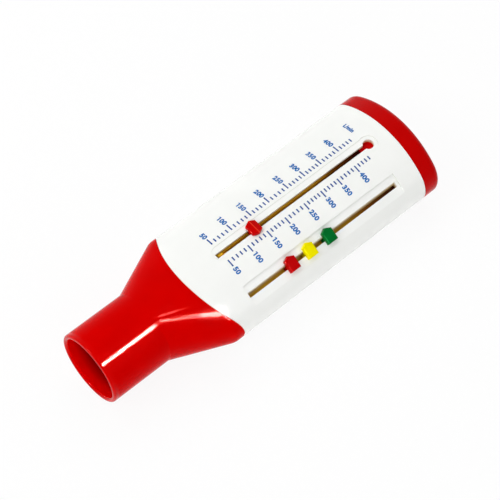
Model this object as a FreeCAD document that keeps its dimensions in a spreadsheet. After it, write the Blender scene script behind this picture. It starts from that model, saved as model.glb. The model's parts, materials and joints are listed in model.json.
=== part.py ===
import FreeCAD, Part
import math
import os

import Sketcher

# A hand-held peak flow meter, lying on its back with the scale upwards.
# Lengths are millimetres. Along X, 0 is the lip of the mouthpiece and +X runs to the end cap.
# Y runs across the scale and Z out of it, both from the axis of the tube.
sizes = {
    # outer form
    "overallLength": 157.1,
    "tubeRadius": 15.0,
    "tubeLength": 26.5,
    "shoulderLength": 23.2,
    "shoulderBlend": 1.2,
    "bodyHalfWidth": 25.6,
    "bodyHalfHeight": 15.0,
    "ovalEndRadius": 10.5,
    "capLength": 8.6,
    "seamApex": 44.3,
    "seamRadius": 40.0,
    "seamGap": 0.12,
    "capSeamRadius": 300.0,
    "capEndRadius": 210.0,
    "capRounding": 2.6,
    "lipRounding": 0.9,
    # walls and fits
    "tubeWall": 2.0,
    "bodyWall": 2.0,
    "spigotWall": 1.5,
    "spigotEnd": 58.0,
    "capSpigotLength": 7.0,
    "capEndWall": 2.5,
    "pressFit": 0.05,
    "runningGap": 0.05,
    "looseGap": 0.3,
    # scale slot and keyhole
    "trackDepth": 0.4,
    "trackHalfWidth": 3.25,
    "trackStart": 59.6,
    "slotHalfWidth": 1.0,
    "slotAcross": -0.25,
    "slotStart": 60.9,
    "keyholeSetback": 9.9,
    "keyholeRadius": 2.2,
    "bulbRadius": 3.8,
    "landHalfWidth": 4.0,
    "slotWall": 1.0,
    # marker slot
    "markerEdgeInset": 7.05,
    "markerTilt": 28.0,
    "markerFloorDepth": 0.5,
    "markerFloorStart": 61.0,
    "markerFloorSetback": 10.5,
    "markerFloorInner": 4.15,
    "markerSlotStart": 61.2,
    "markerSlotSetback": 11.8,
    "markerSlotHalfWidth": 0.95,
    "markerLandDepth": 2.2,
    "markerLandThickness": 1.3,
    # barrel
    "barrelBore": 10.6,
    "barrelWall": 1.0,
    "barrelSetback": 5.3,
    "bulkheadThickness": 1.6,
    "barrelSlotHalfWidth": 0.6,
    "barrelSlotStart": 61.4,
    "ridgeHalfWidth": 2.8,
    "ridgeSetback": 30.0,
    "webThickness": 1.2,
    "railHalfWidth": 1.4,
    "railAcross": -0.9,
    # rod and its holders
    "rodRadius": 1.5,
    "rodStart": 52.0,
    "rodOverhang": 1.5,
    "supportRadius": 10.9,
    "supportThickness": 2.0,
    "supportRim": 1.3,
    "supportHubRadius": 3.2,
    "supportHubReach": 2.0,
    "spokeWidth": 1.6,
    "nutRadius": 3.0,
    "nutLength": 3.0,
    "washerThickness": 1.0,
    "washerRadius": 3.4,
    # piston and spring
    "pistonDisc": 1.2,
    "pistonSkirtLength": 5.4,
    "pistonSkirtWall": 0.9,
    "pistonHubRadius": 3.7,
    "pistonHubLength": 8.0,
    "bushWall": 1.0,
    "armHalfWidth": 0.4,
    "armThickness": 2.0,
    "springRadius": 4.6,
    "springWire": 0.4,
    "springTurns": 9.0,
    "seatPlate": 1.0,
    "seatRadius": 5.6,
    "bossRadius": 5.6,
    "bossSetback": 3.5,
    "bufferRadius": 3.4,
    "bufferLength": 8.2,
    # pointer and its travel
    "pointerX": 79.3,
    "pointerHalfLength": 2.4,
    "pointerCorner": 2.2,
    "pointerVertex": 3.2,
    "pointerHeight": 1.7,
    "pointerRoofDrop": 0.55,
    "pointerEdge": 0.2,
    "pointerStemHalfLength": 1.5,
    "footHalfLength": 2.0,
    "footHalfWidth": 2.4,
    "footThickness": 0.8,
    "lostMotion": 13.2,
    "tongueReach": 6.6,
    "tongueHalfWidth": 3.0,
    "tongueThickness": 1.0,
    # markers
    "redMarkerX": 82.05,
    "yellowMarkerX": 91.1,
    "greenMarkerX": 101.0,
    "markerHalfLength": 2.35,
    "markerOuter": 2.85,
    "markerShoulder": 2.1,
    "markerApex": 3.25,
    "markerHeight": 2.0,
    "markerEdge": 0.45,
    "markerStemHalfLength": 1.9,
    "markerFootHalfLength": 2.25,
    "markerFootHalfWidth": 2.0,
    "ventWidth": 1.5,
    "ventPitch": 3.2,
    "ventHalfHeight": 5.0,
}

os.makedirs("parts", exist_ok=True)
doc = FreeCAD.newDocument("PeakFlowMeter")
sheet = doc.addObject("Spreadsheet::Sheet", "Sizes")
for row, (word, value) in enumerate(sizes.items(), start=1):
    sheet.set(f"A{row}", word)
    sheet.set(f"B{row}", str(value))
    sheet.setAlias(f"B{row}", word)
doc.recompute()


class Length:
    # A size: its number now, and the expression that keeps features bound to the sheet.
    def __init__(self, number, text):
        self.number = number
        self.text = text

    def __add__(self, other):
        other = asLength(other)
        return Length(self.number + other.number, f"({self.text} + {other.text})")

    def __sub__(self, other):
        other = asLength(other)
        return Length(self.number - other.number, f"({self.text} - {other.text})")

    def __mul__(self, other):
        other = asLength(other)
        return Length(self.number * other.number, f"({self.text} * {other.text})")

    def __truediv__(self, other):
        other = asLength(other)
        return Length(self.number / other.number, f"({self.text} / {other.text})")

    def __neg__(self):
        return Length(-self.number, f"(-1 * {self.text})")


def asLength(value):
    if isinstance(value, Length):
        return value
    return Length(float(value), f"({float(value)})")


def root(value):
    return Length(math.sqrt(value.number), f"sqrt({value.text})")


def cosine(angle):
    return Length(math.cos(math.radians(angle.number)), f"cos({angle.text} * 1 deg)")


def sine(angle):
    return Length(math.sin(math.radians(angle.number)), f"sin({angle.text} * 1 deg)")


class Sheet:
    # Reads each size by its word, as a Length.
    def __getattr__(self, word):
        return Length(float(sheet.get(word)), f"Sizes.{word}")


s = Sheet()

# sizes that follow from the sheet
shoulderEnd = s.tubeLength + s.shoulderLength
axisHeight = s.bodyHalfHeight
bodyEnd = s.overallLength - s.capLength
capSpigotStart = bodyEnd - s.capSpigotLength
keyholeX = bodyEnd - s.keyholeSetback
barrelEnd = bodyEnd - s.barrelSetback
bossStart = bodyEnd - s.bossSetback
tongueTip = capSpigotStart - s.tongueReach
# the oval section is four tangent arcs: two narrow ends, and a broad arc above and below
endCentre = s.bodyHalfWidth - s.ovalEndRadius
broadRadius = (endCentre * endCentre + s.bodyHalfHeight * s.bodyHalfHeight
               - s.ovalEndRadius * s.ovalEndRadius) / ((s.bodyHalfHeight - s.ovalEndRadius) * 2)
broadCentre = broadRadius - s.bodyHalfHeight
spigotInset = s.bodyWall + s.pressFit
cavityInset = spigotInset + s.spigotWall
trackFloor = s.bodyHalfHeight - s.trackDepth
landFace = trackFloor - s.slotWall
footTop = landFace - s.runningGap
footBottom = footTop - s.footThickness
barrelRadius = s.barrelBore + s.barrelWall
boreOnRod = s.rodRadius + s.runningGap
snugOnRod = s.rodRadius + s.pressFit / 2
supportFront = s.spigotEnd - s.supportThickness
hubBack = s.spigotEnd + s.supportHubReach
hubFront = supportFront - s.supportHubReach / 2
pistonStart = hubBack + s.washerThickness + s.runningGap
discBack = pistonStart + s.pistonDisc
pistonHubEnd = pistonStart + s.pistonHubLength
bushRadius = boreOnRod + s.bushWall
pistonRadius = s.barrelBore - s.runningGap * 2
armTop = landFace - s.looseGap
armFront = s.pointerX - s.footHalfLength - s.lostMotion - s.runningGap
seatFront = bossStart - s.seatPlate

# the marker slot's middle, on the flat floor that is let into the side of the face
markerAcross = s.bodyHalfWidth - s.markerEdgeInset
markerSurface = root(broadRadius * broadRadius - markerAcross * markerAcross) - broadCentre
markerY = -(markerAcross - s.markerFloorDepth * sine(s.markerTilt))
markerZ = markerSurface - s.markerFloorDepth * cosine(s.markerTilt)
markerSlope = sine(s.markerTilt) / cosine(s.markerTilt)


def bind(thing, path, length):
    if "Sizes." in length.text:
        thing.setExpression(path, length.text)


def vector(x, y, z=0):
    return FreeCAD.Vector(asLength(x).number, asLength(y).number, asLength(z).number)


def newBody(label, x=0, y=0, z=0, tilt=None):
    # Every piece is placed so that the whole meter stands at the middle of its base.
    body = doc.addObject("PartDesign::Body", label)
    body.Label = label
    place = [asLength(x) - s.overallLength / 2, asLength(y), asLength(z) + axisHeight]
    angle = tilt.number if tilt else 0
    body.Placement = FreeCAD.Placement(vector(*place), FreeCAD.Rotation(FreeCAD.Vector(1, 0, 0), angle))
    for letter, length in zip("xyz", place):
        bind(body, f"Placement.Base.{letter}", length)
    if tilt:
        bind(body, "Placement.Rotation.Angle", tilt)
    return body


def originPart(body, role):
    return next(part for part in body.Origin.OriginFeatures if part.Role == role)


def sketchOn(body, role, offset=0, y=0, tilt=None):
    # A sketch on one of the body's planes, moved out along its normal.
    sketch = body.newObject("Sketcher::SketchObject", f"{body.Label}_sketch")
    sketch.AttachmentSupport = (originPart(body, role), "")
    sketch.MapMode = "FlatFace"
    angle = tilt.number if tilt else 0
    sketch.AttachmentOffset = FreeCAD.Placement(
        vector(0, y, offset), FreeCAD.Rotation(FreeCAD.Vector(1, 0, 0), angle))
    bind(sketch, "AttachmentOffset.Base.z", asLength(offset))
    bind(sketch, "AttachmentOffset.Base.y", asLength(y))
    if tilt:
        bind(sketch, "AttachmentOffset.Rotation.Angle", tilt)
    return sketch


def fix(sketch, kind, *place, length):
    number = sketch.addConstraint(Sketcher.Constraint(kind, *place, length.number))
    bind(sketch, f"Constraints[{number}]", length)


def fixPoint(sketch, line, end, x=None, y=None):
    # Places a point from the sketch's origin; a way that isn't given is left to other constraints.
    for kind, place, axis in (("DistanceX", x, -2), ("DistanceY", y, -1)):
        if place is None:
            continue
        length = asLength(place)
        if length.number == 0:
            sketch.addConstraint(Sketcher.Constraint("PointOnObject", line, end, axis))
        else:
            fix(sketch, kind, -1, 1, line, end, length=length)


def outline(sketch, corners):
    # A closed run of straight edges through the corners.
    first = sketch.GeometryCount
    count = len(corners)
    for k in range(count):
        start, end = corners[k], corners[(k + 1) % count]
        sketch.addGeometry(Part.LineSegment(vector(*start), vector(*end)), False)
    for k in range(count):
        sketch.addConstraint(Sketcher.Constraint("Coincident", first + k, 2, first + (k + 1) % count, 1))
    for k, (x, y) in enumerate(corners):
        fixPoint(sketch, first + k, 1, x, y)
    return sketch


def slopedSketch(body, depth):
    # A sketch along the marker slot's floor, at a depth under it.
    depth = asLength(depth)
    return sketchOn(body, "XY_Plane", markerZ - depth * cosine(s.markerTilt),
                    markerY + depth * sine(s.markerTilt), s.markerTilt)


def slanted(sketch, top, bottom, halfWidth):
    # The marker slot's walls stand upright, so on its sloping floor a stem's section leans.
    return outline(sketch, [
        (top * markerSlope - halfWidth, top), (bottom * markerSlope - halfWidth, bottom),
        (bottom * markerSlope + halfWidth, bottom), (top * markerSlope + halfWidth, top)])


def rectangle(sketch, x0, x1, y0, y1):
    return outline(sketch, [(x0, y0), (x1, y0), (x1, y1), (x0, y1)])


def circle(sketch, x, y, radius):
    number = sketch.addGeometry(Part.Circle(vector(x, y), FreeCAD.Vector(0, 0, 1), radius.number), False)
    fix(sketch, "Radius", number, length=radius)
    fixPoint(sketch, number, 3, x, y)
    return sketch


def oval(sketch, inset, share=1):
    # The section taken in by an inset, with its long way along the sketch's X. The share draws
    # the arcs' centres in to the axis, down to the round tube at 0.
    share = asLength(share)
    narrow = s.tubeRadius + (s.ovalEndRadius - s.tubeRadius) * share - inset
    broad = s.tubeRadius + (broadRadius - s.tubeRadius) * share - inset
    side = endCentre * share
    drop = broadCentre * share
    apart = broadRadius - s.ovalEndRadius
    joinX = side + narrow * endCentre / apart
    joinY = narrow * broadCentre / apart
    turn = math.atan2(broadCentre.number, endCentre.number)
    arcs = [(side, 0, narrow, -turn, turn), (0, -drop, broad, turn, math.pi - turn),
            (-side, 0, narrow, math.pi - turn, math.pi + turn), (0, drop, broad, math.pi + turn, -turn)]
    for x, y, radius, first, last in arcs:
        whole = Part.Circle(vector(x, y), FreeCAD.Vector(0, 0, 1), radius.number)
        sketch.addGeometry(Part.ArcOfCircle(whole, first, last), False)
    for k in range(4):
        sketch.addConstraint(Sketcher.Constraint("Coincident", k, 1, (k - 1) % 4, 2))
    fixPoint(sketch, 0, 3, side, 0)
    fixPoint(sketch, 0, 1, joinX, -joinY)
    fixPoint(sketch, 0, 2, y=joinY)
    fixPoint(sketch, 1, 3, 0, -drop)
    fixPoint(sketch, 1, 2, x=-joinX)
    fixPoint(sketch, 2, 3, -side, 0)
    fixPoint(sketch, 2, 2, y=-joinY)
    fixPoint(sketch, 3, 3, y=drop)
    return sketch


def pad(body, sketch, length, reverse=False, middle=False):
    feature = body.newObject("PartDesign::Pad", f"{body.Label}_pad")
    feature.Profile = sketch
    feature.Reversed = reverse
    feature.SideType = "Symmetric" if middle else "One side"
    feature.Length = length.number
    bind(feature, "Length", length)
    return feature


def pocket(body, sketch, length, reverse=False, middle=False):
    # Cuts against the sketch's normal, or along it when reversed.
    before = body.Tip
    feature = body.newObject("PartDesign::Pocket", f"{body.Label}_pocket")
    feature.Profile = sketch
    feature.Reversed = reverse
    feature.SideType = "Symmetric" if middle else "One side"
    feature.Length = length.number
    bind(feature, "Length", length)
    doc.recompute()
    if feature.Shape.Volume > before.Shape.Volume - 0.01:
        raise RuntimeError(f"a cut in {body.Label} removes nothing")
    return feature


def turned(label, corners, x=0):
    # A round piece: its half section, as places along the axis and radii, turned about the axis.
    body = newBody(label, x)
    sketch = outline(sketchOn(body, "XZ_Plane"), corners)
    feature = body.newObject("PartDesign::Revolution", f"{label}_turn")
    feature.Profile = sketch
    feature.ReferenceAxis = (sketch, ["H_Axis"])
    feature.Angle = 360
    return body


def ring(label, start, end, inner, outer, x=0):
    return turned(label, [(start, inner), (end, inner), (end, outer), (start, outer)], x)


def shoulder(body, startInset, endInset, rounded, cut=False):
    # The transition from the round tube to the oval, both taken in by an inset.
    # Its last stretch bends gently into the straight oval where it is rounded.
    kind = "PartDesign::SubtractiveLoft" if cut else "PartDesign::AdditiveLoft"

    def section(x, inset, share):
        return oval(sketchOn(body, "YZ_Plane", x), inset, share)

    start = section(s.tubeLength, startInset, 0)
    if not rounded:
        loft(body, kind, start, [section(shoulderEnd, endInset, 1)], True)
        return shoulderEnd
    bendStart = shoulderEnd - s.shoulderBlend
    bendEnd = shoulderEnd + s.shoulderBlend
    straightShare = (s.shoulderLength - s.shoulderBlend) / s.shoulderLength
    slope = asLength(1) / s.shoulderLength
    loft(body, kind, start, [section(bendStart, startInset, straightShare)], True)
    bend = []
    for part in (0, 1 / 3, 2 / 3, 1):
        x = bendStart + s.shoulderBlend * 2 * part
        left = s.shoulderBlend * 2 * (1 - part)
        bend.append(section(x, endInset, asLength(1) - left * left * slope / (s.shoulderBlend * 4)))
    loft(body, kind, bend[0], bend[1:], False)
    return bendEnd


def loft(body, kind, start, sections, ruled):
    feature = body.newObject(kind, f"{body.Label}_loft")
    feature.Profile = start
    feature.Sections = sections
    feature.Ruled = ruled
    return feature


def archCut(body, apex, radius, way, far):
    # Cuts along an arch that crosses the meter, a circle seen from above, out to a far side.
    # The way is -1 where the arch points to the mouth and 1 where it points to the cap.
    reach = s.bodyHalfWidth + 4
    end = reach * way
    centre = apex - radius * way
    sketch = sketchOn(body, "XY_Plane")
    middle = 0 if way > 0 else math.pi
    opening = math.asin(reach.number / radius.number)
    arc = sketch.addGeometry(Part.ArcOfCircle(
        Part.Circle(vector(centre, 0), FreeCAD.Vector(0, 0, 1), radius.number),
        middle - opening, middle + opening), False)
    fix(sketch, "Radius", arc, length=radius)
    fixPoint(sketch, arc, 3, centre, 0)
    fix(sketch, "DistanceY", -1, 1, arc, 1, length=-end)
    fix(sketch, "DistanceY", -1, 1, arc, 2, length=end)
    arcEnd = centre.number + way * math.sqrt(radius.number ** 2 - reach.number ** 2)
    low = sketch.addGeometry(Part.LineSegment(vector(arcEnd, end), vector(far, end)), False)
    side = sketch.addGeometry(Part.LineSegment(vector(far, end), vector(far, -end)), False)
    high = sketch.addGeometry(Part.LineSegment(vector(far, -end), vector(arcEnd, -end)), False)
    for first, second in ((arc, low), (low, side), (side, high), (high, arc)):
        sketch.addConstraint(Sketcher.Constraint("Coincident", first, 2, second, 1))
    fixPoint(sketch, side, 1, far, end)
    fixPoint(sketch, side, 2, far, -end)
    pocket(body, sketch, s.bodyHalfHeight * 4, middle=True)


def archDrop(radius):
    # How far an arch falls back from its apex at the meter's sides.
    return radius - root(radius * radius - s.bodyHalfWidth * s.bodyHalfWidth)


def roundEdges(body, radius, chosen):
    # Rounds the edges of the body's last shape that a test picks out.
    doc.recompute()
    base = body.Tip
    names = [f"Edge{k + 1}" for k, edge in enumerate(base.Shape.Edges) if chosen(edge.BoundBox)]
    feature = body.newObject("PartDesign::Fillet", f"{body.Label}_fillet")
    feature.Base = (base, names)
    feature.Radius = radius.number
    bind(feature, "Radius", radius)


def near(a, b):
    return abs(a - asLength(b).number) < 0.01


def bodyShell():
    body = newBody("body_shell")
    start = shoulder(body, asLength(0), asLength(0), rounded=True)
    sleeve = oval(sketchOn(body, "YZ_Plane", start), asLength(0))
    pad(body, sleeve, bodyEnd + 1 - start)
    shoulder(body, s.tubeWall, s.bodyWall, rounded=False, cut=True)
    inside = oval(sketchOn(body, "YZ_Plane", shoulderEnd), s.bodyWall)
    pocket(body, inside, bodyEnd + 1 - shoulderEnd, reverse=True)
    archCut(body, s.seamApex, s.seamRadius, -1, s.tubeLength - 4)
    archCut(body, bodyEnd, s.capSeamRadius, 1, bodyEnd + 4)

    # flat faces inside, on which the feet of pointer and markers run: the first is cut into the
    # wall, which is thinner there, and the second stands out from it
    land = rectangle(sketchOn(body, "XY_Plane", landFace), s.slotStart - 1, tongueTip,
                     -s.landHalfWidth, s.landHalfWidth)
    pocket(body, land, s.bodyWall)
    sideLand = rectangle(slopedSketch(body, s.markerLandDepth), s.markerFloorStart,
                         bodyEnd - s.markerFloorSetback, -s.landHalfWidth, s.landHalfWidth)
    pad(body, sideLand, s.markerLandThickness)

    # the shallow track round the scale slot, with a round start and a bulb at the keyhole
    roundStart = s.trackStart + s.trackHalfWidth
    above = s.trackDepth + 1
    track = rectangle(sketchOn(body, "XY_Plane", trackFloor), roundStart, keyholeX,
                      -s.trackHalfWidth, s.trackHalfWidth)
    pocket(body, track, above, reverse=True)
    pocket(body, circle(sketchOn(body, "XY_Plane", trackFloor), roundStart, 0, s.trackHalfWidth),
           above, reverse=True)
    pocket(body, circle(sketchOn(body, "XY_Plane", trackFloor), keyholeX, s.slotAcross, s.bulbRadius),
           above, reverse=True)
    through = s.bodyWall + 1
    slot = rectangle(sketchOn(body, "XY_Plane", trackFloor), s.slotStart, keyholeX,
                     s.slotAcross - s.slotHalfWidth, s.slotAcross + s.slotHalfWidth)
    pocket(body, slot, through)
    keyhole = circle(sketchOn(body, "XY_Plane", trackFloor), keyholeX, s.slotAcross, s.keyholeRadius)
    pocket(body, keyhole, through)

    # the flat floor of the marker slot, which runs out on the curved side
    floor = rectangle(slopedSketch(body, 0), s.markerFloorStart, bodyEnd - s.markerFloorSetback,
                      -(s.markerFloorInner * 1.6), s.markerFloorInner)
    pocket(body, floor, s.bodyWall * 2, reverse=True)
    sideSlot = rectangle(sketchOn(body, "XY_Plane", markerZ + 1), s.markerSlotStart,
                         bodyEnd - s.markerSlotSetback, markerY - s.markerSlotHalfWidth,
                         markerY + s.markerSlotHalfWidth)
    pocket(body, sideSlot, s.markerLandDepth / cosine(s.markerTilt) + 2.5)
    return body


def mouthpiece():
    body = newBody("mouthpiece")
    pad(body, circle(sketchOn(body, "YZ_Plane"), 0, 0, s.tubeRadius), s.tubeLength)
    end = shoulder(body, asLength(0), asLength(0), rounded=True)
    skirt = oval(sketchOn(body, "YZ_Plane", end), asLength(0))
    pad(body, skirt, s.spigotEnd - end)
    archCut(body, s.seamApex - s.seamGap, s.seamRadius + s.seamGap, -1, shoulderEnd + s.bodyHalfWidth)
    # the spigot inside the sleeve
    shoulder(body, s.tubeWall + s.pressFit, spigotInset, rounded=False)
    spigot = oval(sketchOn(body, "YZ_Plane", shoulderEnd), spigotInset)
    pad(body, spigot, s.spigotEnd - shoulderEnd)
    # the breath passage
    bore = circle(sketchOn(body, "YZ_Plane"), 0, 0, s.tubeRadius - s.tubeWall)
    pocket(body, bore, s.tubeLength, reverse=True)
    shoulder(body, s.tubeWall, cavityInset, rounded=False, cut=True)
    mouth = oval(sketchOn(body, "YZ_Plane", shoulderEnd), cavityInset)
    pocket(body, mouth, s.spigotEnd - shoulderEnd, reverse=True)
    roundEdges(body, s.lipRounding, lambda box: near(box.XMin, 0) and near(box.XMax, 0))
    return body


def endCap():
    body = newBody("end_cap")
    seamSide = bodyEnd - archDrop(s.capSeamRadius)
    endSide = s.overallLength - archDrop(s.capEndRadius)
    outer = oval(sketchOn(body, "YZ_Plane", seamSide - 1), asLength(0))
    pad(body, outer, s.overallLength + 2 - seamSide)
    archCut(body, s.overallLength, s.capEndRadius, 1, s.overallLength + 4)
    roundEdges(body, s.capRounding, lambda box: box.XMin > endSide.number - 0.5)
    archCut(body, bodyEnd + s.seamGap, s.capSeamRadius + s.seamGap, 1, seamSide - 4)
    spigot = oval(sketchOn(body, "YZ_Plane", capSpigotStart), spigotInset)
    pad(body, spigot, bodyEnd + s.seamGap - capSpigotStart)
    endWallStart = s.overallLength - s.capEndWall
    cavity = oval(sketchOn(body, "YZ_Plane", capSpigotStart), cavityInset)
    pocket(body, cavity, endWallStart - capSpigotStart, reverse=True)
    # seat for the barrel's end
    seat = circle(sketchOn(body, "YZ_Plane", capSpigotStart), 0, 0, barrelRadius + s.pressFit)
    pocket(body, seat, barrelEnd - capSpigotStart, reverse=True)
    # boss that holds the rod
    pad(body, circle(sketchOn(body, "YZ_Plane", bossStart), 0, 0, s.bossRadius), endWallStart - bossStart)
    pocket(body, circle(sketchOn(body, "YZ_Plane", bossStart), 0, 0, snugOnRod),
           bodyEnd + s.rodOverhang - bossStart, reverse=True)
    # tongue under the keyhole, which keeps the pointer in
    tongueTop = s.bodyHalfHeight - spigotInset - s.runningGap * 2
    tongue = rectangle(sketchOn(body, "XY_Plane", tongueTop), tongueTip, capSpigotStart + 1,
                       -s.tongueHalfWidth, s.tongueHalfWidth)
    pad(body, tongue, s.tongueThickness, reverse=True)
    # air outlets in the end wall, in two groups beside the boss
    vents = sketchOn(body, "YZ_Plane", endWallStart)
    for side in (-1, 1):
        for k in range(4):
            middle = (s.bossRadius + s.ventPitch / 2 + s.ventPitch * k) * side
            rectangle(vents, middle - s.ventWidth / 2, middle + s.ventWidth / 2,
                      -s.ventHalfHeight, s.ventHalfHeight)
    pocket(body, vents, s.capEndWall, reverse=True)
    return body


def measuringBarrel():
    body = newBody("measuring_barrel")
    bulkhead = oval(sketchOn(body, "YZ_Plane", s.spigotEnd), spigotInset)
    pad(body, bulkhead, s.bulkheadThickness)
    pad(body, circle(sketchOn(body, "YZ_Plane", s.spigotEnd), 0, 0, barrelRadius), barrelEnd - s.spigotEnd)
    webReach = s.bodyHalfWidth - s.bodyWall - s.looseGap
    web = rectangle(sketchOn(body, "XY_Plane"), s.spigotEnd, capSpigotStart - s.looseGap, -webReach, webReach)
    pad(body, web, s.webThickness, middle=True)
    # ridge along the barrel's top, to just under the pointer's foot
    ridgeTop = footBottom - s.looseGap
    ridge = rectangle(sketchOn(body, "XY_Plane", s.barrelBore), s.spigotEnd, bodyEnd - s.ridgeSetback,
                      s.slotAcross - s.ridgeHalfWidth, s.slotAcross + s.ridgeHalfWidth)
    pad(body, ridge, ridgeTop - s.barrelBore)
    # rail that stands up from the web to just under the markers' feet
    railDepth = s.markerLandDepth + s.runningGap + s.footThickness + s.looseGap
    rail = rectangle(slopedSketch(body, railDepth), s.spigotEnd, capSpigotStart - s.looseGap,
                     s.railAcross - s.railHalfWidth, s.railAcross + s.railHalfWidth)
    pad(body, rail, markerZ / cosine(s.markerTilt) + s.railAcross * markerSlope - railDepth, reverse=True)
    pocket(body, circle(sketchOn(body, "YZ_Plane", s.spigotEnd), 0, 0, s.barrelBore),
           barrelEnd - s.spigotEnd, reverse=True)
    slot = rectangle(sketchOn(body, "XY_Plane"), s.barrelSlotStart, barrelEnd,
                     -s.barrelSlotHalfWidth, s.barrelSlotHalfWidth)
    pocket(body, slot, ridgeTop + 1, reverse=True)
    return body


def rodSupport():
    body = turned("rod_support", [
        (hubFront, snugOnRod), (hubBack, snugOnRod), (hubBack, s.supportHubRadius),
        (hubFront, s.supportHubRadius)])
    rimInner = s.supportRadius - s.supportRim
    rim = circle(sketchOn(body, "YZ_Plane", supportFront), 0, 0, s.supportRadius)
    circle(rim, 0, 0, rimInner)
    spoke = rectangle(sketchOn(body, "YZ_Plane", supportFront), -s.spokeWidth / 2, s.spokeWidth / 2,
                      s.supportHubRadius - 0.4, rimInner + 0.4)
    first = pad(body, spoke, s.supportThickness)
    pattern = body.newObject("PartDesign::PolarPattern", "rod_support_spokes")
    pattern.Originals = [first]
    pattern.Axis = (originPart(body, "X_Axis"), [""])
    pattern.Angle = 360
    pattern.Occurrences = 3
    body.Tip = pattern
    pad(body, rim, s.supportThickness)
    return body


def piston():
    rim = pistonRadius - s.pistonSkirtWall
    skirtEnd = pistonStart + s.pistonSkirtLength
    hubBore = bushRadius + s.pressFit / 2
    body = turned("piston", [
        (pistonStart, hubBore), (pistonHubEnd, hubBore), (pistonHubEnd, s.pistonHubRadius),
        (discBack, s.pistonHubRadius), (discBack, rim), (skirtEnd, rim), (skirtEnd, pistonRadius),
        (pistonStart, pistonRadius)])
    arm = rectangle(sketchOn(body, "XZ_Plane"), armFront - s.armThickness, armFront, rim + 0.2, armTop)
    pad(body, arm, s.armHalfWidth * 2, middle=True)
    return body


def pistonSpring():
    # A light coil between the piston's disc and the seat on the cap's boss.
    wire = s.springWire
    start = discBack + wire + 0.02
    length = seatFront - wire - 0.02 - start
    helix = doc.addObject("Part::Helix", "spring_line")
    helix.Radius = s.springRadius.number
    helix.Height = length.number
    helix.Pitch = (length / s.springTurns).number
    bind(helix, "Radius", s.springRadius)
    bind(helix, "Height", length)
    bind(helix, "Pitch", length / s.springTurns)
    section = doc.addObject("Part::RegularPolygon", "spring_section")
    section.Polygon = 6
    section.Circumradius = wire.number
    section.Placement = FreeCAD.Placement(vector(s.springRadius, 0, 0),
                                          FreeCAD.Rotation(FreeCAD.Vector(1, 0, 0), 90))
    bind(section, "Circumradius", wire)
    bind(section, "Placement.Base.x", s.springRadius)
    coil = doc.addObject("Part::Sweep", "piston_spring")
    coil.Label = "piston_spring"
    coil.Sections = [section]
    coil.Spine = (helix, ["Edge1"])
    coil.Solid = True
    coil.Frenet = True
    # the sweep stands on +Z, and is turned to lie along +X
    coil.Placement = FreeCAD.Placement(vector(start - s.overallLength / 2, 0, axisHeight),
                                       FreeCAD.Rotation(FreeCAD.Vector(0, 1, 0), 90))
    bind(coil, "Placement.Base.x", start - s.overallLength / 2)
    bind(coil, "Placement.Base.z", axisHeight)
    return coil


def pointerHead():
    body = newBody("pointer_head", s.pointerX, s.slotAcross)
    low = s.bodyHalfHeight + s.runningGap * 2
    high = s.bodyHalfHeight + s.pointerHeight
    edge = high - s.pointerRoofDrop
    half = s.pointerHalfLength
    # a roof with its ridge across the scale, then trimmed to a hexagon
    roof = outline(sketchOn(body, "XZ_Plane"), [
        (-half, low), (half, low), (half, edge), (0, high), (-half, edge)])
    pad(body, roof, s.pointerVertex * 2, middle=True)
    rim = s.pointerVertex + 1
    for side in (-1, 1):
        trim = outline(sketchOn(body, "XY_Plane", low), [
            (-(half + 1), rim * side), (-(half + 1), s.pointerCorner * side), (-half, s.pointerCorner * side),
            (0, s.pointerVertex * side), (half, s.pointerCorner * side), (half + 1, s.pointerCorner * side),
            (half + 1, rim * side)])
        pocket(body, trim, s.pointerHeight * 2, reverse=True)
    roundEdges(body, s.pointerEdge, lambda box: box.ZMin > edge.number - 0.05)
    stem = s.slotHalfWidth - s.runningGap * 2
    neck = rectangle(sketchOn(body, "XY_Plane", low), -s.pointerStemHalfLength, s.pointerStemHalfLength,
                     -stem, stem)
    pad(body, neck, low - footBottom, reverse=True)
    return body


def pointerFoot():
    # The plate under the slot, with the hole that takes the pointer's stem.
    body = newBody("pointer_foot", s.pointerX, s.slotAcross)
    stem = s.slotHalfWidth - s.runningGap * 2 + s.pressFit
    hole = s.pointerStemHalfLength + s.pressFit
    plate = sketchOn(body, "XY_Plane", footTop - s.footThickness)
    rectangle(plate, -s.footHalfLength, s.footHalfLength, -s.footHalfWidth, s.footHalfWidth)
    rectangle(plate, -hole, hole, -stem, stem)
    pad(body, plate, s.footThickness)
    return body


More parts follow.
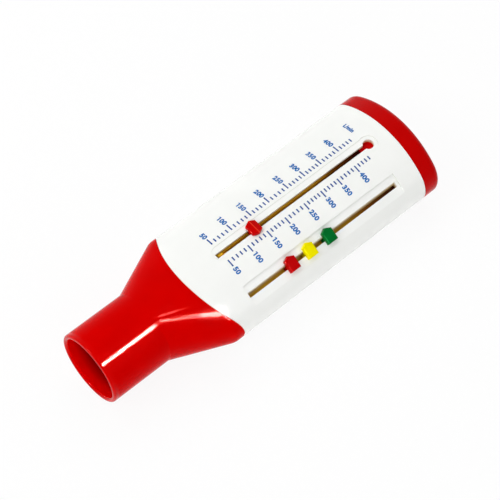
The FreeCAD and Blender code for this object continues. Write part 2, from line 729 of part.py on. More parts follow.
def marker(colour, x):
    # A house-shaped rider with its point to the scale, and its foot, both square to the sloping floor.
    head = newBody(f"{colour}_marker", x, markerY, markerZ, s.markerTilt)
    low = s.runningGap * 2
    half = s.markerHalfLength
    shape = outline(sketchOn(head, "XY_Plane", low), [
        (-half, -s.markerOuter), (half, -s.markerOuter), (half, s.markerShoulder),
        (0, s.markerApex), (-half, s.markerShoulder)])
    pad(head, shape, s.markerHeight - low)
    roundEdges(head, s.markerEdge,
               lambda box: near(box.ZMin, s.markerHeight) and near(box.ZMax, s.markerHeight))
    footUnder = s.markerLandDepth + s.runningGap
    footBase = footUnder + s.footThickness
    stem = (s.markerSlotHalfWidth - s.runningGap * 2) / cosine(s.markerTilt)
    neck = slanted(sketchOn(head, "YZ_Plane"), low * 3, -footBase, stem)
    pad(head, neck, s.markerStemHalfLength * 2, middle=True)
    clip = newBody(f"{colour}_marker_foot", x, markerY, markerZ, s.markerTilt)
    middle = -(footUnder + s.footThickness / 2) * markerSlope
    plate = rectangle(sketchOn(clip, "XY_Plane", -footBase), -s.markerFootHalfLength, s.markerFootHalfLength,
                      middle - s.markerFootHalfWidth, middle + s.markerFootHalfWidth)
    pad(clip, plate, s.footThickness)
    hole = slanted(sketchOn(clip, "YZ_Plane"), -(footUnder - s.footThickness), -(footBase + s.footThickness),
                   stem + s.pressFit)
    pocket(clip, hole, (s.markerStemHalfLength + s.pressFit) * 2, middle=True)
    return [head, clip]


pieces = [
    bodyShell(), mouthpiece(), endCap(), measuringBarrel(), rodSupport(),
    ring("guide_rod", s.rodStart, bodyEnd + s.rodOverhang, asLength(0), s.rodRadius),
    ring("rod_nut", hubFront - s.nutLength, hubFront, snugOnRod, s.nutRadius),
    ring("stop_washer", hubBack, hubBack + s.washerThickness, snugOnRod, s.washerRadius),
    piston(),
    ring("piston_bush", pistonStart, pistonHubEnd, boreOnRod, bushRadius),
    pistonSpring(),
    turned("spring_seat", [
        (seatFront, s.bufferRadius + s.pressFit), (bossStart, s.bufferRadius + s.pressFit),
        (bossStart, s.seatRadius), (seatFront, s.seatRadius)]),
    ring("end_buffer", bossStart - s.bufferLength, bossStart, snugOnRod, s.bufferRadius),
    pointerHead(), pointerFoot(),
]
for colour, x in (("red", s.redMarkerX), ("yellow", s.yellowMarkerX), ("green", s.greenMarkerX)):
    pieces += marker(colour, x)

doc.recompute()

for thing in doc.Objects:
    if "Invalid" in thing.State or "Error" in thing.State:
        raise RuntimeError(f"{thing.Name} is {thing.State}")
for piece in pieces:
    shape = piece.Shape
    if shape.isNull() or not shape.isValid() or len(shape.Solids) != 1:
        raise RuntimeError(f"{piece.Label} is not one sound solid")
    print(piece.Label, round(shape.Volume, 1), [round(v, 2) for v in (
        shape.BoundBox.XMin, shape.BoundBox.XMax, shape.BoundBox.YMin, shape.BoundBox.YMax,
        shape.BoundBox.ZMin, shape.BoundBox.ZMax)])

for piece in pieces:
    piece.Shape.exportStep(f"parts/{piece.Label}.step")
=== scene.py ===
import json
import math

import bpy
from mathutils import Matrix, Vector

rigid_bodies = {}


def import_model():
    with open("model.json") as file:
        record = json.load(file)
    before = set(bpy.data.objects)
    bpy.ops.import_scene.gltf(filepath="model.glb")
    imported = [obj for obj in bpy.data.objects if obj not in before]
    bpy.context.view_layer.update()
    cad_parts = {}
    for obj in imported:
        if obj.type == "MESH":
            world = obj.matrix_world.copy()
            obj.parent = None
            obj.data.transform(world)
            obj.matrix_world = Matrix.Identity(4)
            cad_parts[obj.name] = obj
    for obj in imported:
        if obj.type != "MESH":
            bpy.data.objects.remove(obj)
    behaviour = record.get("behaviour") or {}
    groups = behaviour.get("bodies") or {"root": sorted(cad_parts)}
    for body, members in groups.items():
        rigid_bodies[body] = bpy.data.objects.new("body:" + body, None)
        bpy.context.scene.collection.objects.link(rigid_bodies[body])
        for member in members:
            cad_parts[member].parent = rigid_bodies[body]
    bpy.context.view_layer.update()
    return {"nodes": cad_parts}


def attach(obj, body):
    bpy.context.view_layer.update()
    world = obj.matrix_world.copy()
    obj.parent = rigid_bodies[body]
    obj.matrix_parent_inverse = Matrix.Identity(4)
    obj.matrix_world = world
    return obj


# A hand-held peak flow meter: white oval sleeve, red mouthpiece and end cap, and four small riders.
# It lies on its back with the scale upwards, and x runs along it from the mouth to the cap.
# Lengths in the dictionaries are millimetres, apart from those that a note gives in metres.
mm = 0.001

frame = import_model()
nodes = frame["nodes"]
print("frame loaded:", len(nodes), "nodes")

meter = {
    "axisHeight": 15.0,      # the axis of the mouthpiece's round tube
    "broadRadius": 38.08,    # outside of the sleeve's broad top arc
    "arcCentre": -8.08,      # height of that arc's centre
}


def hexColour(text):
    # sRGB hex to the linear colour that shaders take
    parts = [int(text[k:k + 2], 16) / 255 for k in (1, 3, 5)]
    linear = [p / 12.92 if p <= 0.04045 else ((p + 0.055) / 1.055) ** 2.4 for p in parts]
    return (*linear, 1.0)


def addNode(tree, kind, settings=None, links=None):
    # One node with its settings and its incoming links. A setting is an attribute or an input, and
    # an input goes by its name, or by its number where the node has several of one name.
    node = tree.nodes.new(kind)
    for name, value in (settings or {}).items():
        if isinstance(name, int) or name in node.inputs:
            node.inputs[name].default_value = value
        else:
            setattr(node, name, value)
    for name, source in (links or {}).items():
        tree.links.new(source, node.inputs[name])
    return node


def emptyMaterial(name):
    material = bpy.data.materials.new(name)
    material.use_nodes = True
    material.node_tree.nodes.clear()
    return material


def colourRamp(tree, fac, stops):
    # a blend through hex colours, each with its place from 0 to 1
    ramp = addNode(tree, "ShaderNodeValToRGB", {}, {"Fac": fac})
    elements = ramp.color_ramp.elements
    for element, (place, colour) in zip(elements, (stops[0], stops[-1])):
        element.position = place
        element.color = hexColour(colour)
    for place, colour in stops[1:-1]:
        elements.new(place).color = hexColour(colour)
    return ramp.outputs["Color"]


def deselect():
    bpy.ops.object.select_all(action="DESELECT")


plastic = {
    "ior": 1.53,
    "flowDetail": 2.0,
    "grainDetail": 3.0,
    "noiseLow": 0.3,        # nearly all values of a noise lie between these two
    "noiseHigh": 0.7,
    "glossSpread": 0.15,    # how far the grain moves the roughness, as a share of it
}


def mouldedPlastic(name, look, tint=None, polish=None):
    # Injection-moulded plastic: an even colour that drifts very slightly with the flow of the
    # melt, a polished or satin skin, and a faint ripple that softens the reflections. The glint is
    # the colour that a face seen head-on reflects; at its edges the skin reflects white.
    material = emptyMaterial(name)
    tree = material.node_tree
    place = addNode(tree, "ShaderNodeTexCoord").outputs["Object"]
    flow = addNode(tree, "ShaderNodeTexNoise", {
        "Scale": 1 / (look["flowSize"] * mm), "Detail": plastic["flowDetail"]}, {"Vector": place})
    colour = colourRamp(tree, flow.outputs["Fac"], [
        (plastic["noiseLow"], look["shade"]), (plastic["noiseHigh"], look["colour"])])
    if tint:
        colour = tint(tree, place, colour)
    grain = addNode(tree, "ShaderNodeTexNoise", {
        "Scale": 1 / (look["grainSize"] * mm), "Detail": plastic["grainDetail"]}, {"Vector": place})
    gloss = addNode(tree, "ShaderNodeMapRange", {
        "From Min": plastic["noiseLow"], "From Max": plastic["noiseHigh"],
        "To Min": look["roughness"] * (1 - plastic["glossSpread"]),
        "To Max": look["roughness"] * (1 + plastic["glossSpread"])},
        {"Value": grain.outputs["Fac"]})
    bump = addNode(tree, "ShaderNodeBump", {"Strength": look["bump"], "Distance": look["relief"] * mm},
                   {"Height": grain.outputs["Fac"]})
    skin = addNode(tree, "ShaderNodeBsdfPrincipled", {
        "IOR": plastic["ior"], "Specular IOR Level": look["specular"],
        "Specular Tint": hexColour(look["glint"])},
        {"Base Color": colour, "Roughness": gloss.outputs["Result"], "Normal": bump.outputs["Normal"]})
    if polish:
        tree.links.new(polish(tree, place, look["specular"]), skin.inputs["Specular IOR Level"])
    addNode(tree, "ShaderNodeOutputMaterial", {}, {"Surface": skin.outputs["BSDF"]})
    return material


mouthGloss = {
    "lipEnd": -76.6,
    "dull": 0.2,       # share of the full gloss that is left away from the lip and the spots
    "core": 0.6,       # share of a spot's radius that has the full gloss
    # each spot is stretched along the meter: from, to, across, height, radius
    "spots": [(-78, -56.5, -7.6, 27.9, 5), (-48, -45, -5.5, 29, 3.2), (-34, -30, -17, 26, 5.5)],
}


def spotGloss(tree, place, level):
    # Full gloss on the lip, along the tube's top and at two spots of the shoulder, and little
    # elsewhere: the lamps' images stay short on the straight flanks and the sheen keeps to the rims.
    along = addNode(tree, "ShaderNodeSeparateXYZ", {}, {"Vector": place}).outputs["X"]
    lip = addNode(tree, "ShaderNodeMath", {"operation": "LESS_THAN", 1: mouthGloss["lipEnd"] * mm},
                  {0: along})
    share = lip.outputs[0]
    for first, last, across, height, radius in mouthGloss["spots"]:
        near = addNode(tree, "ShaderNodeClamp", {"Min": first * mm, "Max": last * mm}, {"Value": along})
        centre = addNode(tree, "ShaderNodeCombineXYZ", {"Y": across * mm, "Z": height * mm},
                         {"X": near.outputs["Result"]})
        away = addNode(tree, "ShaderNodeVectorMath", {"operation": "DISTANCE"},
                       {0: place, 1: centre.outputs["Vector"]})
        spot = addNode(tree, "ShaderNodeMapRange", {
            "From Min": radius * mm, "From Max": radius * mouthGloss["core"] * mm},
            {"Value": away.outputs["Value"]})
        more = addNode(tree, "ShaderNodeMath", {"operation": "MAXIMUM"},
                       {0: share, 1: spot.outputs["Result"]})
        share = more.outputs[0]
    gloss = addNode(tree, "ShaderNodeMapRange", {"To Min": level * mouthGloss["dull"], "To Max": level},
                    {"Value": share})
    return gloss.outputs["Result"]


boreLight = {
    "radius": 13.1,    # just outside the bore
    "lip": -78.5,
    "deep": -71.4,
    "stops": [(0.0, "#D20000"), (0.1, "#F00000"), (0.45, "#E80000"), (1.0, "#9A0000")],
}


def boreShade(tree, place, colour):
    # The light that enters the mouth falls on the bore's first millimetres and fades with depth.
    fromAxis = addNode(tree, "ShaderNodeVectorMath", {
        "operation": "MULTIPLY_ADD", 1: (0, 1, 1), 2: (0, 0, -meter["axisHeight"] * mm)}, {0: place})
    radius = addNode(tree, "ShaderNodeVectorMath", {"operation": "LENGTH"}, {0: fromAxis.outputs[0]})
    inside = addNode(tree, "ShaderNodeMath", {"operation": "LESS_THAN", 1: boreLight["radius"] * mm},
                     {0: radius.outputs["Value"]})
    along = addNode(tree, "ShaderNodeSeparateXYZ", {}, {"Vector": place})
    depth = addNode(tree, "ShaderNodeMapRange", {
        "From Min": boreLight["lip"] * mm, "From Max": boreLight["deep"] * mm},
        {"Value": along.outputs["X"]})
    mix = addNode(tree, "ShaderNodeMixRGB", {}, {
        "Fac": inside.outputs[0], "Color1": colour,
        "Color2": colourRamp(tree, depth.outputs["Result"], boreLight["stops"])})
    return mix.outputs["Color"]


# Polished red ABS of the mouthpiece: deep, slightly orange red with sharp highlights.
redGloss = mouldedPlastic("polished_red_abs", {
    "colour": "#D20000", "shade": "#CA0000", "flowSize": 14, "grainSize": 1.1, "roughness": 0.06,
    "bump": 0.03, "relief": 0.01, "specular": 0.1, "glint": "#FF625E"}, boreShade, spotGloss)

sleeveWall = {
    "skinDepth": 0.62,        # the outer faces, the track and the marker floor lie above this depth
    "fullDepth": 2.0,
    "arcHalfWidth": 20.2,     # the broad arc ends here
    "low": 20.0,              # below this height nothing is shaded
    # painted light: the slot walls' colours from the skin depth down to the full depth
    "stops": [(0.0, "#F6F1E6"), (0.5, "#E9DCC2"), (1.0, "#CDAE78")],
    "step": "#D2D3CA",        # painted shade on the upright walls round the track and the marker floor
    "stepFacing": 0.7,        # cosine of the angle to the arc past which a face is a wall
}


def slotGlow(tree, place, colour):
    # Painted light: the slot walls are painted from near white to beige with depth, where the amber barrel's
    # light reaches up the slots. The low steps round the track and the floor are painted a little greyer, as
    # painted shade.
    fromCentre = addNode(tree, "ShaderNodeVectorMath", {
        "operation": "MULTIPLY_ADD", 1: (0, 1, 1), 2: (0, 0, -meter["arcCentre"] * mm)}, {0: place})
    radius = addNode(tree, "ShaderNodeVectorMath", {"operation": "LENGTH"}, {0: fromCentre.outputs[0]})
    depth = addNode(tree, "ShaderNodeMapRange", {
        "From Min": (meter["broadRadius"] - sleeveWall["skinDepth"]) * mm,
        "From Max": (meter["broadRadius"] - sleeveWall["fullDepth"]) * mm},
        {"Value": radius.outputs["Value"]})
    parts = addNode(tree, "ShaderNodeSeparateXYZ", {}, {"Vector": place})
    onArc = addNode(tree, "ShaderNodeMath", {
        "operation": "COMPARE", 1: 0.0, 2: sleeveWall["arcHalfWidth"] * mm}, {0: parts.outputs["Y"]})
    high = addNode(tree, "ShaderNodeMath", {"operation": "GREATER_THAN", 1: sleeveWall["low"] * mm},
                   {0: parts.outputs["Z"]})
    onTop = addNode(tree, "ShaderNodeMath", {"operation": "MULTIPLY"},
                    {0: onArc.outputs[0], 1: high.outputs[0]})
    outward = addNode(tree, "ShaderNodeVectorMath", {"operation": "NORMALIZE"}, {0: fromCentre.outputs[0]})
    facing = addNode(tree, "ShaderNodeVectorMath", {"operation": "DOT_PRODUCT"}, {
        0: outward.outputs[0], 1: addNode(tree, "ShaderNodeTexCoord").outputs["Normal"]})
    steep = addNode(tree, "ShaderNodeMath", {"operation": "LESS_THAN", 1: sleeveWall["stepFacing"]},
                    {0: facing.outputs["Value"]})
    deep = addNode(tree, "ShaderNodeMath", {"operation": "GREATER_THAN", 1: 0.0},
                   {0: depth.outputs["Result"]})
    paintedStepShadeMask, paintedSlotLightMask = [
        addNode(tree, "ShaderNodeMath", {"operation": "MULTIPLY"}, {0: mask.outputs[0], 1: onTop.outputs[0]})
        for mask in (steep, deep)]
    step = addNode(tree, "ShaderNodeMixRGB", {"Color2": hexColour(sleeveWall["step"])}, {
        "Fac": paintedStepShadeMask.outputs[0], "Color1": colour})
    mix = addNode(tree, "ShaderNodeMixRGB", {}, {
        "Fac": paintedSlotLightMask.outputs[0], "Color1": step.outputs["Color"],
        "Color2": colourRamp(tree, depth.outputs["Result"], sleeveWall["stops"])})
    return mix.outputs["Color"]


# Gloss white ABS of the sleeve: near white, with faint clear reflections, and painted light and shade in its
# slots and on its steps.
whiteGloss = mouldedPlastic("gloss_white_abs", {
    "colour": "#F8F9F6", "shade": "#F5F6F3", "flowSize": 18, "grainSize": 0.5, "roughness": 0.09,
    "bump": 0.03, "relief": 0.01, "specular": 0.05, "glint": "#FFFFFF"}, slotGlow)

barrelShade = {
    "start": 32.0,
    "end": 54.0,
    "stops": [(0.0, "#FFFFFF"), (0.5, "#B0805A"), (1.0, "#5A1A14")],
    "sideFrom": -10.0,      # across: the rail under the riders' slot lies beyond this
    # painted shade: the rail under the side slot is darkened by this colour
    "side": "#CBC3B0",
}


def capShade(tree, place, colour):
    # Painted shade: towards the cap less light comes in, and what does is reddened by the cap.
    # The rail under the side slot is painted a little darker all along, as shade.
    parts = addNode(tree, "ShaderNodeSeparateXYZ", {}, {"Vector": place})
    share = addNode(tree, "ShaderNodeMapRange", {
        "From Min": barrelShade["start"] * mm, "From Max": barrelShade["end"] * mm},
        {"Value": parts.outputs["X"]})
    shaded = addNode(tree, "ShaderNodeMixRGB", {"blend_type": "MULTIPLY", "Fac": 1.0}, {
        "Color1": colour, "Color2": colourRamp(tree, share.outputs["Result"], barrelShade["stops"])})
    paintedSideShadeMask = addNode(tree, "ShaderNodeMath", {
        "operation": "LESS_THAN", 1: barrelShade["sideFrom"] * mm}, {0: parts.outputs["Y"]})
    mix = addNode(tree, "ShaderNodeMixRGB", {
        "blend_type": "MULTIPLY", "Color2": hexColour(barrelShade["side"])},
        {"Fac": paintedSideShadeMask.outputs[0], "Color1": shaded.outputs["Color"]})
    return mix.outputs["Color"]


# Amber acetal of the inner barrel: ochre, waxy, seen only down the slots.
# Its ochre is partly painted light: it stands in for the warm, dim light inside the white shell.
amberWaxAndPaintedWarmLight = mouldedPlastic("amber_acetal", {
    "colour": "#FFCB38", "shade": "#F6BE2C", "flowSize": 7, "grainSize": 0.6, "roughness": 0.35,
    "bump": 0.1, "relief": 0.02, "specular": 0.03, "glint": "#FFD070"}, capShade)

# A painted highlight along the pointer's cross ridge: its place, half width, height and colour.
pointerRidgeHighlight = {
    "place": 0.75,
    "halfWidth": 0.16,
    "above": 31.0,
    "colour": "#E83E26",
}


def ridgeLight(tree, place, colour):
    # Painted highlight: a thin lighter line runs along the pointer's cross ridge.
    parts = addNode(tree, "ShaderNodeSeparateXYZ", {}, {"Vector": place})
    near = addNode(tree, "ShaderNodeMath", {
        "operation": "COMPARE", 1: pointerRidgeHighlight["place"] * mm, 2: pointerRidgeHighlight["halfWidth"] * mm},
        {0: parts.outputs["X"]})
    high = addNode(tree, "ShaderNodeMath", {"operation": "GREATER_THAN", 1: pointerRidgeHighlight["above"] * mm},
                   {0: parts.outputs["Z"]})
    both = addNode(tree, "ShaderNodeMath", {"operation": "MULTIPLY"},
                   {0: near.outputs[0], 1: high.outputs[0]})
    mix = addNode(tree, "ShaderNodeMixRGB", {"Color2": hexColour(pointerRidgeHighlight["colour"])}, {
        "Fac": both.outputs[0], "Color1": colour})
    return mix.outputs["Color"]


# Polished ABS of the cap and the pointer: a shade deeper than the mouthpiece's red.
deepRed = {
    "colour": "#C20000", "shade": "#BA0000", "flowSize": 14, "grainSize": 1.1, "roughness": 0.06,
    "bump": 0.03, "relief": 0.01, "specular": 0.1, "glint": "#FF625E"}
deepRedGloss = mouldedPlastic("polished_deep_red_abs", deepRed)
# The pointer's copy also carries the painted ridge highlight.
pointerGloss = mouldedPlastic("polished_pointer_red_abs", deepRed, ridgeLight)

# Gloss ABS of the markers, coloured through: plain bright faces with soft, faint reflections.
redSlider = mouldedPlastic("gloss_red_slider_abs", {
    "colour": "#BA0004", "shade": "#B00003", "flowSize": 4, "grainSize": 0.6, "roughness": 0.12,
    "bump": 0.03, "relief": 0.01, "specular": 0.06, "glint": "#FF4A45"})
yellowGloss = mouldedPlastic("gloss_yellow_abs", {
    "colour": "#F2E600", "shade": "#EADC00", "flowSize": 4, "grainSize": 0.6, "roughness": 0.12,
    "bump": 0.03, "relief": 0.01, "specular": 0.06, "glint": "#FFFF30"})
greenGloss = mouldedPlastic("gloss_green_abs", {
    "colour": "#006E2A", "shade": "#006224", "flowSize": 4, "grainSize": 0.6, "roughness": 0.12,
    "bump": 0.03, "relief": 0.01, "specular": 0.06, "glint": "#50C070"})

# Natural acetal of the rod support and the spring seat: cream, waxy, satin.
naturalWax = mouldedPlastic("natural_acetal", {
    "colour": "#E9E4D6", "shade": "#E1DBCB", "flowSize": 5, "grainSize": 0.5, "roughness": 0.35,
    "bump": 0.08, "relief": 0.02, "specular": 0.4, "glint": "#FFFFFF"})
# Turned PTFE of the piston's bush: white and dull.
slipperyWhite = mouldedPlastic("ptfe", {
    "colour": "#F3F3EF", "shade": "#ECECE7", "flowSize": 4, "grainSize": 0.4, "roughness": 0.5,
    "bump": 0.08, "relief": 0.02, "specular": 0.3, "glint": "#FFFFFF"})
# Moulded black rubber of the washer and the buffer: matt, with a broad weak sheen.
softBlack = mouldedPlastic("black_rubber", {
    "colour": "#26262A", "shade": "#1D1D20", "flowSize": 4, "grainSize": 0.4, "roughness": 0.75,
    "bump": 0.15, "relief": 0.03, "specular": 0.35, "glint": "#FFFFFF"})

wire = {
    "colour": "#D2D4D6",
    "shade": "#B9BCC0",
    "lineSize": 0.15,
    "stretch": 0.05,       # the lines' scale along the wire, as a share of that across it
    "detail": 2.0,
    "smooth": 0.22,        # roughness of the brightest and the dullest lines
    "dragged": 0.38,
}


def drawnWire(name):
    # Drawn steel wire: bright grey metal with fine drag lines along its length.
    material = emptyMaterial(name)
    tree = material.node_tree
    place = addNode(tree, "ShaderNodeTexCoord").outputs["Object"]
    along = addNode(tree, "ShaderNodeMapping", {"Scale": (wire["stretch"], 1, 1)}, {"Vector": place})
    lines = addNode(tree, "ShaderNodeTexNoise", {
        "Scale": 1 / (wire["lineSize"] * mm), "Detail": wire["detail"]},
        {"Vector": along.outputs["Vector"]})
    rough = addNode(tree, "ShaderNodeMapRange", {"To Min": wire["smooth"], "To Max": wire["dragged"]},
                    {"Value": lines.outputs["Fac"]})
    tint = colourRamp(tree, lines.outputs["Fac"], [
        (plastic["noiseLow"], wire["shade"]), (plastic["noiseHigh"], wire["colour"])])
    skin = addNode(tree, "ShaderNodeBsdfPrincipled", {"Metallic": 1.0},
                   {"Base Color": tint, "Roughness": rough.outputs["Result"]})
    addNode(tree, "ShaderNodeOutputMaterial", {}, {"Surface": skin.outputs["BSDF"]})
    return material


brightWire = drawnWire("drawn_steel_wire")

printFilm = {
    "patchSize": 0.5,
    "detail": 3.0,
    "thickBelow": 0.35,    # of the noise: the film is thick below the first and thin above the second
    "thinAbove": 0.65,
    "wet": 0.35,           # roughness where the film is thick, and where it is thin
    "dry": 0.5,
    "ior": 1.48,
    "specular": 0.05,
}


def padPrintInk(name, thick, thin):
    # Pad-printed ink: blue with a slightly uneven film, duller than the plastic under it.
    material = emptyMaterial(name)
    tree = material.node_tree
    place = addNode(tree, "ShaderNodeTexCoord").outputs["Object"]
    film = addNode(tree, "ShaderNodeTexNoise", {
        "Scale": 1 / (printFilm["patchSize"] * mm), "Detail": printFilm["detail"]}, {"Vector": place})
    tint = colourRamp(tree, film.outputs["Fac"], [
        (printFilm["thickBelow"], thick), (printFilm["thinAbove"], thin)])
    rough = addNode(tree, "ShaderNodeMapRange", {"To Min": printFilm["wet"], "To Max": printFilm["dry"]},
                    {"Value": film.outputs["Fac"]})
    skin = addNode(tree, "ShaderNodeBsdfPrincipled", {
        "IOR": printFilm["ior"], "Specular IOR Level": printFilm["specular"]},
        {"Base Color": tint, "Roughness": rough.outputs["Result"]})
    addNode(tree, "ShaderNodeOutputMaterial", {}, {"Surface": skin.outputs["BSDF"]})
    return material


# Navy for the marks, and a clearer blue for the numbers.
markInk = padPrintInk("navy_pad_print_ink", "#08428C", "#0E4A96")
numberInk = padPrintInk("blue_pad_print_ink", "#0062AC", "#006AB6")

finishes = {
    "body_shell": whiteGloss,
    "mouthpiece": redGloss,
    "end_cap": deepRedGloss,
    "pointer_head": pointerGloss,
    "pointer_foot": deepRedGloss,
    "red_marker": redSlider,
    "red_marker_foot": redSlider,
    "yellow_marker": yellowGloss,
    "yellow_marker_foot": yellowGloss,
    "green_marker": greenGloss,
    "green_marker_foot": greenGloss,
    "measuring_barrel": amberWaxAndPaintedWarmLight,
    "piston": amberWaxAndPaintedWarmLight,
    "rod_support": naturalWax,
    "spring_seat": naturalWax,
    "piston_bush": slipperyWhite,
    "stop_washer": softBlack,
    "end_buffer": softBlack,
    "guide_rod": brightWire,
    "rod_nut": brightWire,
    "piston_spring": brightWire,
}
for name, node in nodes.items():
    for slot in node.material_slots:
        slot.material = finishes[name]
print("finishes given to", len(finishes), "nodes")


# The printed scale: places measured along the meter from the lip, and across it from the axis.
scale = {
    "fromLip": -78.55,       # the lip's place along the meter
    "lift": 0.03,            # thickness of the ink film as drawn
    "stripCuts": 15,         # strips of 1 mm to either side of the axis
    "longTicks": [63.1, 72.9, 82.5, 91.6, 101.3, 109.9, 118.4, 127.5],
    "steps": 5,              # from one long tick to the next
    "lastStep": 1.74,        # between the short ticks past the last long one
    "firstReading": 50,
    "rowShift": 0.3,         # the print sits a little to the far side of the slot
    "tickInner": 4.35,
    "longOuter": 7.45,
    "shortOuter": 6.05,
    "tickWidth": 0.57,
    "numberStart": 8.1,
    "numberHeight": 1.9,
    "numberNarrow": 0.98,
    "numberSpacing": 1.1,
    "numberWeight": 0.15,    # how far each stroke of a number is thickened
    "fontHeight": 0.7,       # height of a number as a share of the font's size
    "unitX": 138.4,
    "unitMiddle": 10.4,
    "unitHeight": 1.7,
    "unitNarrow": 0.85,
}


def surfaceHeight(y):
    return meter["arcCentre"] + math.sqrt(meter["broadRadius"] ** 2 - y * y) + scale["lift"]


def ontoSleeve(piece, ink):
    # Cuts a flat print into narrow strips across the sleeve, then lays it on the curved face.
    deselect()
    bpy.context.view_layer.objects.active = piece
    piece.select_set(True)
    bpy.ops.object.mode_set(mode="EDIT")
    for cut in range(-scale["stripCuts"], scale["stripCuts"] + 1):
        bpy.ops.mesh.select_all(action="SELECT")
        bpy.ops.mesh.bisect(plane_co=(0, cut * mm, 0), plane_no=(0, 1, 0))
    bpy.ops.object.mode_set(mode="OBJECT")
    for vertex in piece.data.vertices:
        vertex.co.z = surfaceHeight(vertex.co.y / mm) * mm
    piece.data.materials.clear()
    piece.data.materials.append(ink)
    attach(piece, "housing")


def tickPlaces():
    # Every 10 L/min: the long marks are measured, the short ones lie evenly between them.
    marks = scale["longTicks"]
    places = []
    for k, start in enumerate(marks):
        places.append((start, True))
        last = k + 1 == len(marks)
        step = scale["lastStep"] if last else (marks[k + 1] - start) / scale["steps"]
        places += [(start + step * part, False) for part in range(1, scale["steps"])]
    return places


def addTicks():
    deselect()
    for k, (x, isLong) in enumerate(tickPlaces()):
        outer = scale["longOuter"] if isLong else scale["shortOuter"]
        for side in (-1, 1):
            middle = (scale["tickInner"] + outer) / 2 * side + scale["rowShift"]
            spot = ((x + scale["fromLip"]) * mm, middle * mm, 0)
            bpy.ops.mesh.primitive_plane_add(size=1, location=spot)
            tick = bpy.context.object
            tick.scale = (scale["tickWidth"] * mm, (outer - scale["tickInner"]) * mm, 1)
            tick.name = f"tick_{k}_{side}"
    ticks = [thing for thing in bpy.data.objects if thing.name.startswith("tick_")]
    deselect()
    for tick in ticks:
        tick.select_set(True)
    bpy.context.view_layer.objects.active = ticks[0]
    bpy.ops.object.join()
    joined = bpy.context.object
    bpy.ops.object.transform_apply(location=True, rotation=True, scale=True)
    joined.name = "scale_marks"
    joined.data.name = "scale_marks"
    ontoSleeve(joined, markInk)


# A bold slanted stroke at the top left of a 1, so that it still reads as a 1 when small. Its length
# and width are shares of the number's height, and its place is given in shares of its own length.
flag = {
    "length": 0.34,
    "width": 0.17,
    "left": 0.3,
    "down": 0.42,
    "slope": 35,    # degrees
}


def addFlag(word, height):
    left = min(vertex.co.x for vertex in word.data.vertices)
    top = max(vertex.co.y for vertex in word.data.vertices)
    length = height * flag["length"] * mm
    deselect()
    bpy.ops.mesh.primitive_plane_add(
        size=1, location=(left - length * flag["left"], top - length * flag["down"], 0),
        rotation=(0, 0, math.radians(flag["slope"])))
    stroke = bpy.context.object
    stroke.scale = (length, height * flag["width"] * mm, 1)
    bpy.ops.object.transform_apply(location=True, rotation=True, scale=True)
    word.select_set(True)
    bpy.context.view_layer.objects.active = word
    bpy.ops.object.join()
    return bpy.context.object


def addWord(name, text, x, y, height, narrow, align):
    deselect()
    bpy.ops.object.text_add()
    word = bpy.context.object
    word.name = name
    word.data.body = text
    word.data.align_x = align
    word.data.align_y = "CENTER"
    word.data.size = height / scale["fontHeight"] * mm
    word.data.space_character = scale["numberSpacing"]
    word.data.offset = scale["numberWeight"] * mm
    bpy.ops.object.convert(target="MESH")
    word = bpy.context.object
    if text.startswith("1"):
        word = addFlag(word, height)
    word.scale = (narrow, 1, 1)
    bpy.ops.object.transform_apply(location=False, rotation=False, scale=True)
    word.rotation_euler = (0, 0, -math.pi / 2)
    word.location = ((x + scale["fromLip"]) * mm, y * mm, 0)
    bpy.ops.object.transform_apply(location=True, rotation=True, scale=True)
    ontoSleeve(word, numberInk)


addTicks()
for k, x in enumerate(scale["longTicks"]):
    reading = scale["firstReading"] * (k + 1)
    for side, word, align in ((1, "far", "RIGHT"), (-1, "near", "LEFT")):
        addWord(f"number_{reading}_{word}", str(reading), x, scale["numberStart"] * side + scale["rowShift"],
                scale["numberHeight"], scale["numberNarrow"], align)
addWord("unit_litres_per_minute", "L/min", scale["unitX"], scale["unitMiddle"], scale["unitHeight"],
        scale["unitNarrow"], "CENTER")
print("scale printed")


def directRays(tree):
    # 1 for rays that show the backdrop itself: from the camera, or by way of a gloss or a clear part
    paths = addNode(tree, "ShaderNodeLightPath")
    total = paths.outputs["Is Camera Ray"]
    for way in ("Is Glossy Ray", "Is Transmission Ray"):
        more = addNode(tree, "ShaderNodeMath", {"operation": "MAXIMUM"}, {0: total, 1: paths.outputs[way]})
        total = more.outputs[0]
    return total


floorLook = {
    "size": 6.0,           # metres
    "drop": 0.4,           # how far it lies under the meter
    "fibreSize": 2.5,
    "fibreDetail": 3.0,
    "colour": "#FAFAFA",
    "shade": "#F6F6F6",
    "shadowShare": 0.09,   # how much of the paper answers to light, so that the shadow stays faint
}


def addFloor():
    # White paper sweep: even and matt, with a faint cloudiness of its fibres.
    deselect()
    bpy.ops.mesh.primitive_plane_add(size=floorLook["size"], location=(0, 0, -floorLook["drop"] * mm))
    floor = bpy.context.object
    floor.name = "floor"
    bpy.ops.object.transform_apply(location=True, rotation=True, scale=True)
    material = emptyMaterial("white_paper_sweep")
    tree = material.node_tree
    place = addNode(tree, "ShaderNodeTexCoord").outputs["Object"]
    fibre = addNode(tree, "ShaderNodeTexNoise", {
        "Scale": 1 / (floorLook["fibreSize"] * mm), "Detail": floorLook["fibreDetail"]}, {"Vector": place})
    tint = colourRamp(tree, fibre.outputs["Fac"], [
        (plastic["noiseLow"], floorLook["shade"]), (plastic["noiseHigh"], floorLook["colour"])])
    paper = addNode(tree, "ShaderNodeBsdfDiffuse", {}, {"Color": tint})
    white = addNode(tree, "ShaderNodeEmission", {"Color": (1, 1, 1, 1), "Strength": 1.0})
    share = addNode(tree, "ShaderNodeMath", {"operation": "MULTIPLY", 1: 1 - floorLook["shadowShare"]},
                    {0: directRays(tree)})
    mix = addNode(tree, "ShaderNodeMixShader", {}, {
        "Fac": share.outputs[0], 1: paper.outputs["BSDF"], 2: white.outputs["Emission"]})
    addNode(tree, "ShaderNodeOutputMaterial", {}, {"Surface": mix.outputs["Shader"]})
    floor.data.materials.append(material)


softLight = 0.52    # strength of the white room that lights the meter from all round


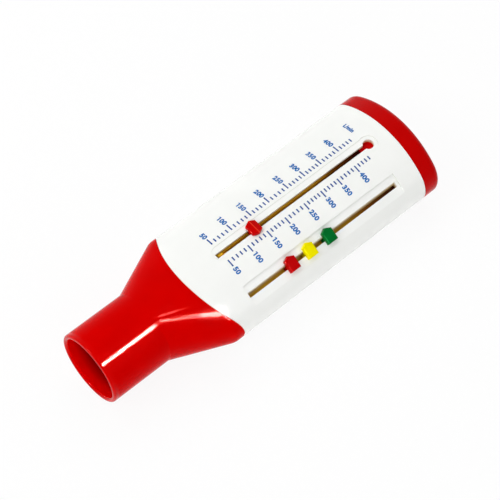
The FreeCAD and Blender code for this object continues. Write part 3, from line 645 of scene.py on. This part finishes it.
def addWorld():
    world = bpy.data.worlds.new("studio")
    bpy.context.scene.world = world
    world.use_nodes = True
    tree = world.node_tree
    tree.nodes.clear()
    soft = addNode(tree, "ShaderNodeBackground", {"Color": (1, 1, 1, 1), "Strength": softLight})
    white = addNode(tree, "ShaderNodeBackground", {"Color": (1, 1, 1, 1), "Strength": 1.0})
    mix = addNode(tree, "ShaderNodeMixShader", {}, {
        "Fac": directRays(tree), 1: soft.outputs["Background"], 2: white.outputs["Background"]})
    addNode(tree, "ShaderNodeOutputWorld", {}, {"Surface": mix.outputs["Shader"]})


# Each lamp's distance and size are metres, and its power watts. The first three light the plastic's
# colour, and the others only show in its gloss.
lights = {
    "key": {"target": (0, 0, 15), "direction": (0.15, 0.55, 0.82), "distance": 1.1,
            "size": (1.2, 0.7), "power": 4.75, "glints": False},
    "fill": {"target": (0, 0, 15), "direction": (-0.4, -0.85, 0.25), "distance": 1.3,
             "size": (1.0, 0.8), "power": 4.4, "glints": False},
    "front": {"target": (-40, 0, 15), "direction": (-0.7, 0.15, 0.65), "distance": 1.2,
              "size": (0.5, 0.5), "power": 4.1, "glints": False},
    "strip": {"target": (-60, -7, 28), "direction": (0.2755, -0.5425, 0.7936), "distance": 0.9,
              "size": (0.074, 0.145), "power": 38.0, "glints": True},
    "patch": {"target": (-35, -16, 26), "direction": (0.1055, -0.599, 0.7936), "distance": 0.9,
              "size": (0.044, 0.4), "power": 36.0, "glints": True},
    "smudge": {"target": (-46, -7, 29), "direction": (0.219, -0.258, 0.941), "distance": 0.9,
               "size": (0.025, 0.06), "power": 0.5, "glints": True},
    "edge": {"target": (-1, 0, 30), "direction": (-0.572, 0.333, 0.748), "distance": 0.9,
             "size": (0.15, 0.15), "power": 100.0, "glints": True},
}


def addLamp(name, target, direction, distance, size, power, glints):
    # An area lamp that looks back at the target from a direction, its first side along the meter.
    deselect()
    towards = Vector(direction).normalized()
    bpy.ops.object.light_add(type="AREA", location=Vector(target) * mm + towards * distance)
    lamp = bpy.context.object
    lamp.name = name
    lamp.data.shape = "RECTANGLE"
    lamp.data.size, lamp.data.size_y = size
    lamp.data.energy = power
    lamp.visible_diffuse = not glints
    lamp.visible_glossy = glints
    along = Vector((1, 0, 0))
    side = (along - towards * along.dot(towards)).normalized()
    turn = Matrix((side, towards.cross(side), towards)).transposed()
    lamp.rotation_euler = turn.to_euler()


bpy.context.scene.view_settings.view_transform = "Standard"
addFloor()
addWorld()
for name, lamp in lights.items():
    addLamp(name + "_light", **lamp)

view = {
    "place": (-250.25, -230.3, 601.4),
    "right": (0.7446, -0.6651, 0.0569),
    "up": (0.5561, 0.6652, 0.4982),
    "lens": 128.54,
    "sensorWidth": 36.0,
    "clipEnd": 20,    # metres
}


def addCamera():
    deselect()
    bpy.ops.object.camera_add(location=Vector(view["place"]) * mm)
    camera = bpy.context.object
    right = Vector(view["right"]).normalized()
    up = (Vector(view["up"]) - right * right.dot(Vector(view["up"]))).normalized()
    camera.rotation_euler = Matrix((right, up, right.cross(up))).transposed().to_euler()
    camera.data.sensor_width = view["sensorWidth"]
    camera.data.lens = view["lens"]
    camera.data.clip_end = view["clipEnd"]
    bpy.context.scene.camera = camera


addCamera()
print("light and camera placed")
